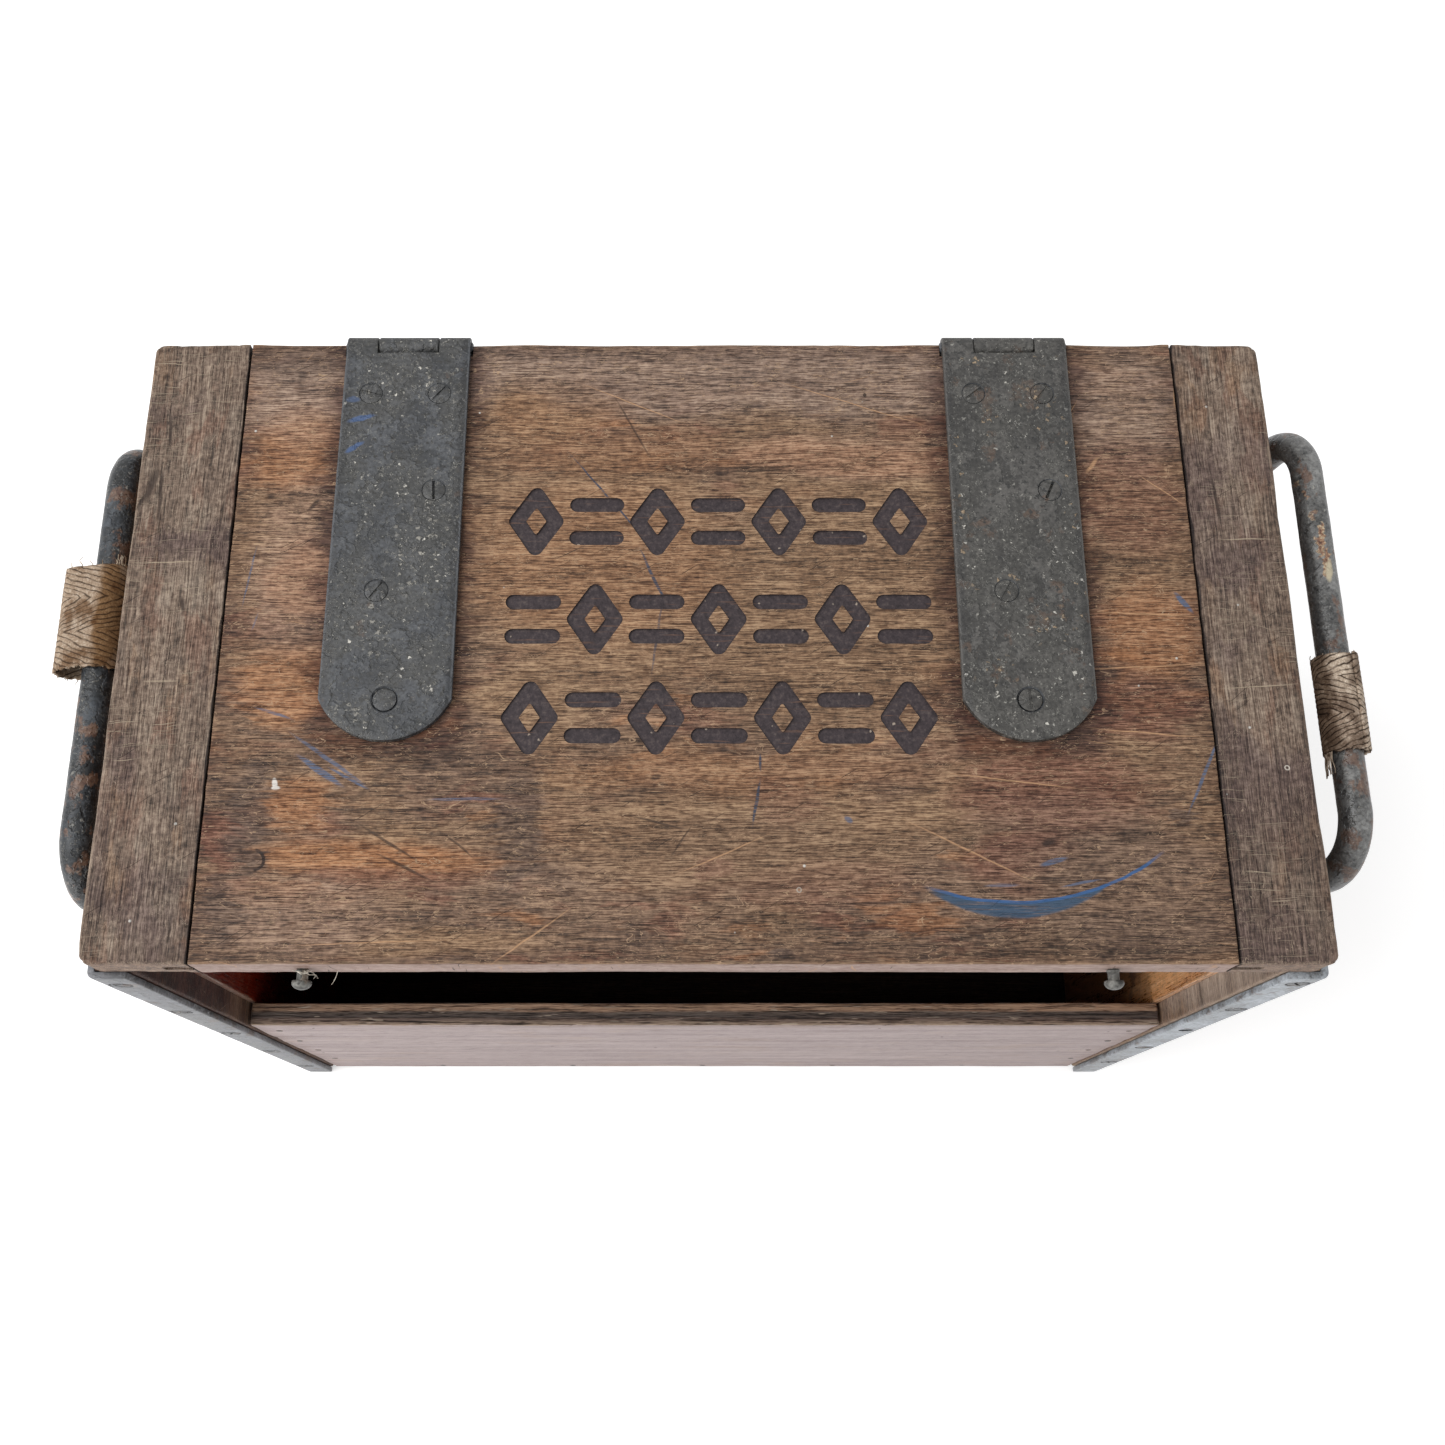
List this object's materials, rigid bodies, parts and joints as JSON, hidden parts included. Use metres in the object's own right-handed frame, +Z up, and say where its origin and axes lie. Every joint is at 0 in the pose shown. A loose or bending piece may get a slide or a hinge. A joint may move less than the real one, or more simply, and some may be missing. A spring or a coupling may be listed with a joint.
{
  "type": "storage box",
  "caption": "Upright wooden transit case with a hinged top lid, an open upper front, steel corner angles and swinging rod handles.",
  "frame": {"origin": "centre of the box's underside, on the floor plane", "axes": "+X to the right along the width, +Y to the back (hinge side), +Z up"},
  "size_m": [0.5239, 0.2687, 0.3631],
  "materials": {
    "lid_wood": "worn reddish-brown varnish with darker stains",
    "cleat_wood": "weathered grey-brown, cross grain",
    "wall_wood": "worn brown varnish",
    "front_wood": "pale pinkish-grey weathered face",
    "batten_wood": "plain aged softwood",
    "lining": "orange-brown varnished plywood",
    "painted_steel": "dark blue-grey paint, pitted and chipped",
    "angle_steel": "worn blue-grey paint",
    "handle_steel": "dark grey paint with rust chips",
    "screw_steel": "painted over, worn",
    "stud_steel": "dull grey plated",
    "webbing": "tan herringbone cotton webbing, dirty"
  },
  "bodies": {
    "case": {"side_wall_left": "wall_wood", "side_wall_right": "wall_wood", "back_wall": "wall_wood", "bottom_board": "batten_wood", "front_panel": "front_wood", "lining_left": "lining", "lining_right": "lining", "front_batten_left": "batten_wood", "front_batten_right": "batten_wood", "back_leaf_left": "painted_steel", "back_leaf_right": "painted_steel", "hinge_pin_left": "screw_steel", "hinge_pin_right": "screw_steel", "corner_angle_front_left": "angle_steel", "corner_angle_front_right": "angle_steel", "corner_angle_rear_left": "angle_steel", "corner_angle_rear_right": "angle_steel", "angle_screw_left_1": "screw_steel", "angle_screw_left_2": "screw_steel", "angle_screw_left_3": "screw_steel", "angle_screw_left_4": "screw_steel", "angle_screw_left_5": "screw_steel", "angle_screw_right_1": "screw_steel", "angle_screw_right_2": "screw_steel", "angle_screw_right_3": "screw_steel", "angle_screw_right_4": "screw_steel", "handle_lug_left_front": "painted_steel", "handle_lug_left_rear": "painted_steel", "handle_lug_right_front": "painted_steel", "handle_lug_right_rear": "painted_steel", "lug_screw_left_1": "screw_steel", "lug_screw_left_2": "screw_steel", "lug_screw_left_3": "screw_steel", "lug_screw_left_4": "screw_steel", "lug_screw_right_1": "screw_steel", "lug_screw_right_2": "screw_steel", "lug_screw_right_3": "screw_steel", "lug_screw_right_4": "screw_steel"},
    "lid": {"lid_panel": "lid_wood", "lid_cleat_left": "cleat_wood", "lid_cleat_right": "cleat_wood", "lid_stud_left": "stud_steel", "lid_stud_right": "stud_steel", "lid_strap_left": "painted_steel", "lid_strap_right": "painted_steel", "strap_screw_left_1": "screw_steel", "strap_screw_left_2": "screw_steel", "strap_screw_left_3": "screw_steel", "strap_screw_left_4": "screw_steel", "strap_screw_left_5": "screw_steel", "strap_screw_right_1": "screw_steel", "strap_screw_right_2": "screw_steel", "strap_screw_right_3": "screw_steel", "strap_screw_right_4": "screw_steel", "strap_screw_right_5": "screw_steel"},
    "handle_left": {"handle_bail_left": "handle_steel", "webbing_wrap_left": "webbing"},
    "handle_right": {"handle_bail_right": "handle_steel", "webbing_wrap_right": "webbing"}
  },
  "joints": [
    {"name": "lid_hinge", "type": "hinge", "parent": "case", "child": "lid", "pos_m": [0, 0.1279, 0.3589], "axis": [-1, 0, 0], "range_deg": [0, 180]},
    {"name": "handle_left_swing", "type": "hinge", "parent": "case", "child": "handle_left", "pos_m": [-0.2421, 0, 0.287], "axis": [0, -1, 0], "range_deg": [-6, 168]},
    {"name": "handle_right_swing", "type": "hinge", "parent": "case", "child": "handle_right", "pos_m": [0.2421, 0.0085, 0.287], "axis": [0, 1, 0], "range_deg": [-16, 168]}
  ]
}
